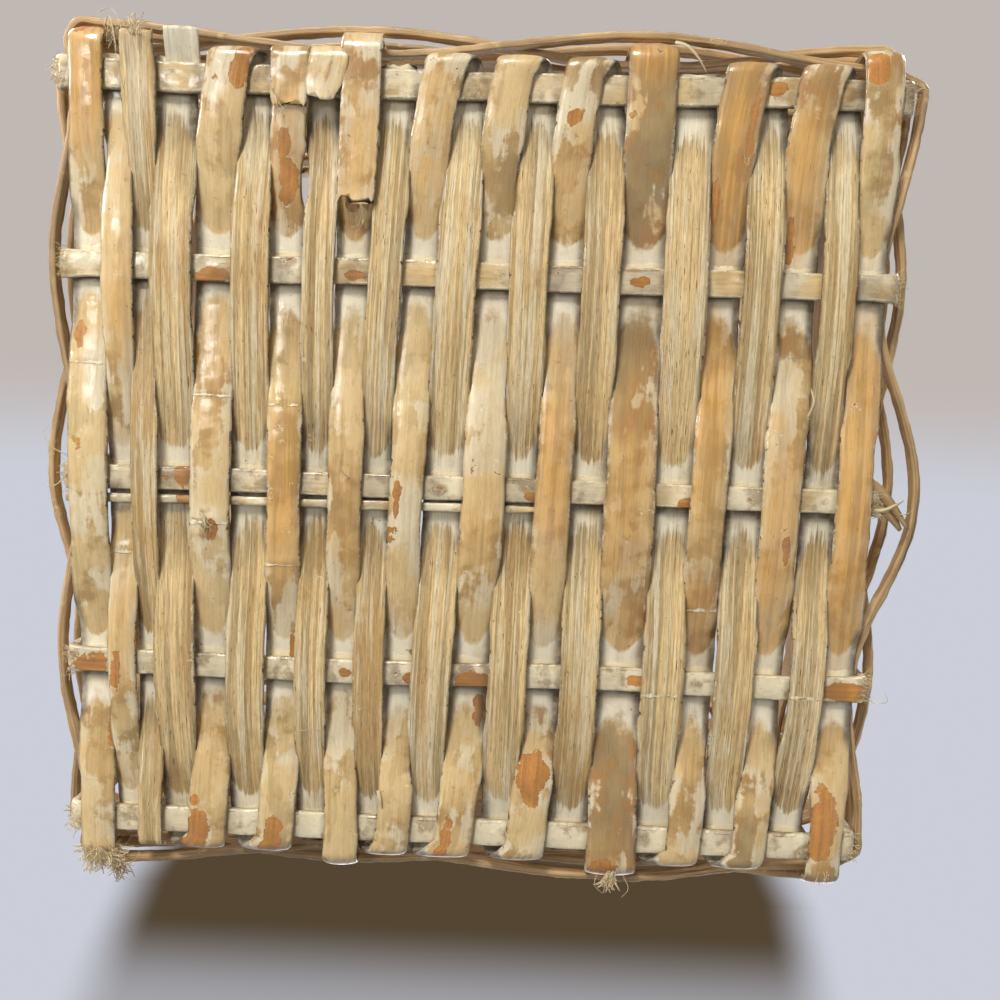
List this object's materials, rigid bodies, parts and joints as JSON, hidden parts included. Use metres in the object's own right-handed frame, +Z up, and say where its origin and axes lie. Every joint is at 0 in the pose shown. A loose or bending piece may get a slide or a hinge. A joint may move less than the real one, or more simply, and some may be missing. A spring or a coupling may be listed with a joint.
{
  "type": "wicker storage basket",
  "caption": "Square open-topped wicker storage basket: crossed and laced cane base, stakes turned up into woven splint walls, and a rim of two lashed hoops.",
  "frame": {"origin": "centre of the underside, on the ground that the basket stands on", "axes": "+Z up through the mouth, X along the base's rods, Y along the base's strips; the picture looks up at the base with X to its right and Y down"},
  "size_m": [0.2708, 0.2748, 0.2141],
  "materials": {
    "whitewashed_rod": "split cane rods with worn, chalky whitewash and bare orange-brown patches",
    "stake_cane": "cream and tan cane skin with flaked whitewash and old varnish",
    "strip_cane": "split cane, glossy skin side on one pass and fibrous pith side on the next, flaked whitewash",
    "weaver_splint": "thin tan-brown splints, darker inside, lightly whitewashed outside",
    "rim_hoop": "flat cane hoops with worn whitewash",
    "lashing_splint": "thin tan splint, worn at its folds"
  },
  "bodies": {
    "root": {"base_rod_1": "whitewashed_rod", "base_rod_2": "whitewashed_rod", "base_rod_3": "whitewashed_rod", "base_rod_4": "whitewashed_rod", "base_rod_5": "whitewashed_rod", "rod_splint": "whitewashed_rod", "corner_stake_left": "stake_cane", "long_stake_left": "stake_cane", "long_stake_right": "stake_cane", "corner_stake_right": "stake_cane", "base_filler_strip": "strip_cane", "base_folded_strip": "strip_cane", "base_lacing_left": "strip_cane", "base_lacing_middle": "strip_cane", "base_lacing_right": "strip_cane", "weaver_row_01": "weaver_splint", "weaver_row_02": "weaver_splint", "weaver_row_03": "weaver_splint", "weaver_row_04": "weaver_splint", "weaver_row_05": "weaver_splint", "weaver_row_06": "weaver_splint", "weaver_row_07": "weaver_splint", "weaver_row_08": "weaver_splint", "weaver_row_09": "weaver_splint", "weaver_row_10": "weaver_splint", "weaver_row_11": "weaver_splint", "weaver_row_12": "weaver_splint", "rim_inner_hoop": "rim_hoop", "rim_outer_hoop": "rim_hoop", "rim_lashing_left": "lashing_splint", "rim_lashing_right": "lashing_splint", "rim_lashing_front": "lashing_splint", "rim_lashing_back": "lashing_splint"}
  },
  "joints": []
}
